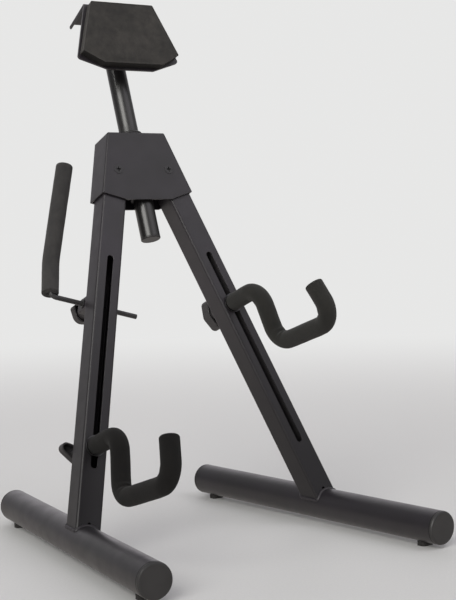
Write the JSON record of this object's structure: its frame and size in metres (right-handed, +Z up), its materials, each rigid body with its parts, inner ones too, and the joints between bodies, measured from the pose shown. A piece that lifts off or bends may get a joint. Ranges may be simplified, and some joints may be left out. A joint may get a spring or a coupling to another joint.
{
  "type": "saxophone stand",
  "caption": "Folding A-frame floor stand for a saxophone or similar large wind instrument, with foam-covered cradle hooks, a height-adjustable backrest and a swinging side arm.",
  "frame": {"origin": "on the floor at the centre of the footprint, which is the bottom centre of the bounding box with the stand open", "axes": "+Z up, +X to the stand's left-to-right as seen from the front, -Y the front, where the hooks point, so +Y is behind the backrest"},
  "size_m": [0.4026, 0.4342, 0.6421],
  "materials": {
    "frame_paint": "satin black powder coat on steel",
    "tube_paint": "smooth semi-gloss black enamel on steel tube",
    "fastener_steel": "dark zinc plated steel",
    "rod_steel": "black oxide steel rod, satin",
    "bush_plastic": "black nylon",
    "insert_brass": "turned brass",
    "knob_plastic": "black moulded nylon, fine texture",
    "cap_plastic": "black moulded plastic, satin",
    "foot_rubber": "matte black rubber",
    "foam": "matte charcoal closed-cell foam rubber"
  },
  "bodies": {
    "head": {"head_housing": "frame_paint", "head_rear_plate": "frame_paint", "tube_guide_sleeve": "frame_paint", "pivot_bolts": "fastener_steel", "pivot_nuts": "fastener_steel", "pivot_washers": "bush_plastic", "lock_weld_nut": "fastener_steel"},
    "guide_bushes": {"guide_bush_upper": "bush_plastic", "guide_bush_lower": "bush_plastic"},
    "backrest": {"backrest_tube": "tube_paint", "tube_end_plug": "cap_plastic", "backrest_plate": "frame_paint", "backrest_pad": "foam"},
    "lock_knob": {"lock_knob_grip": "knob_plastic", "lock_screw": "fastener_steel"},
    "left_leg": {"left_leg_tube": "frame_paint", "left_pivot_sleeve": "fastener_steel", "left_foot_tube": "frame_paint", "left_foot_caps": "cap_plastic", "left_foot_pads": "foot_rubber"},
    "right_leg": {"right_leg_tube": "frame_paint", "right_pivot_sleeve": "fastener_steel", "right_foot_tube": "frame_paint", "right_foot_caps": "cap_plastic", "right_foot_pads": "foot_rubber"},
    "left_hook_carriage": {"left_hook_washers": "fastener_steel"},
    "left_hook": {"left_hook_rod": "rod_steel", "left_hook_foam": "foam"},
    "left_hook_knob": {"left_hook_knob_grip": "knob_plastic", "left_hook_knob_insert": "insert_brass"},
    "right_hook_carriage": {"right_hook_washers": "fastener_steel"},
    "right_hook": {"right_hook_rod": "rod_steel", "right_hook_foam": "foam"},
    "right_hook_knob": {"right_hook_knob_grip": "knob_plastic", "right_hook_knob_insert": "insert_brass"},
    "arm_carriage": {"arm_slot_washer": "bush_plastic"},
    "arm_clamp": {"arm_clamp_block": "frame_paint"},
    "arm_bush": {"arm_rod_bush": "bush_plastic"},
    "arm": {"arm_rod": "rod_steel", "arm_foam": "foam"},
    "arm_knob": {"arm_knob_grip": "knob_plastic", "arm_clamp_screw": "fastener_steel"}
  },
  "joints": [
    {"name": "left_leg_fold", "type": "hinge", "parent": "head", "child": "left_leg", "pos_m": [-0.035, 0.12817, 0.42845], "axis": [0, -0.9397, 0.342], "range_deg": [0, 16.5]},
    {"name": "right_leg_fold", "type": "hinge", "parent": "head", "child": "right_leg", "pos_m": [0.035, 0.12817, 0.42845], "axis": [0, 0.9397, -0.342], "range_deg": [0, 16.5]},
    {"name": "backrest_turn", "type": "hinge", "parent": "head", "child": "guide_bushes", "pos_m": [0, 0.12817, 0.42845], "axis": [0, 0.342, 0.9397], "continuous": true},
    {"name": "backrest_height", "type": "slide", "parent": "guide_bushes", "child": "backrest", "axis": [0, 0.342, 0.9397], "range_m": [-0.06, 0.06]},
    {"name": "lock_knob_turn", "type": "hinge", "parent": "head", "child": "lock_knob", "pos_m": [0, 0.13091, 0.43597], "axis": [0, 0.9397, -0.342], "continuous": true},
    {"name": "left_hook_slide", "type": "slide", "parent": "left_leg", "child": "left_hook_carriage", "axis": [0.284, 0.3279, 0.901], "range_m": [-0.02, 0.035]},
    {"name": "left_hook_swivel", "type": "hinge", "parent": "left_hook_carriage", "child": "left_hook", "pos_m": [-0.1331, 0.0149, 0.11724], "axis": [0, -0.9397, 0.342], "range_deg": [-90, 90]},
    {"name": "left_hook_knob_turn", "type": "hinge", "parent": "left_hook", "child": "left_hook_knob", "pos_m": [-0.1331, 0.03276, 0.11075], "axis": [0, 0.9397, -0.342], "continuous": true},
    {"name": "right_hook_slide", "type": "slide", "parent": "right_leg", "child": "right_hook_carriage", "axis": [-0.284, 0.3279, 0.901], "range_m": [-0.03, 0.06]},
    {"name": "right_hook_swivel", "type": "hinge", "parent": "right_hook_carriage", "child": "right_hook", "pos_m": [0.08695, 0.06819, 0.26366], "axis": [0, -0.9397, 0.342], "range_deg": [-90, 90]},
    {"name": "right_hook_knob_turn", "type": "hinge", "parent": "right_hook", "child": "right_hook_knob", "pos_m": [0.08695, 0.08604, 0.25716], "axis": [0, 0.9397, -0.342], "continuous": true},
    {"name": "arm_slide", "type": "slide", "parent": "left_leg", "child": "arm_carriage", "axis": [0.284, 0.3279, 0.901], "range_m": [-0.06, 0.04]},
    {"name": "arm_swivel", "type": "hinge", "parent": "arm_carriage", "child": "arm_clamp", "pos_m": [-0.08189, 0.07403, 0.27969], "axis": [0, -0.9397, 0.342], "range_deg": [-5, 45]},
    {"name": "arm_turn", "type": "hinge", "parent": "arm_clamp", "child": "arm_bush", "pos_m": [-0.08189, 0.09658, 0.27149], "axis": [0.9588, -0.0971, -0.2669], "range_deg": [-90, 90]},
    {"name": "arm_reach", "type": "slide", "parent": "arm_bush", "child": "arm", "axis": [0.9588, -0.0971, -0.2669], "range_m": [-0.03, 0.003]},
    {"name": "arm_knob_turn", "type": "hinge", "parent": "arm_clamp", "child": "arm_knob", "pos_m": [-0.08189, 0.1088, 0.26704], "axis": [0, 0.9397, -0.342], "continuous": true}
  ]
}
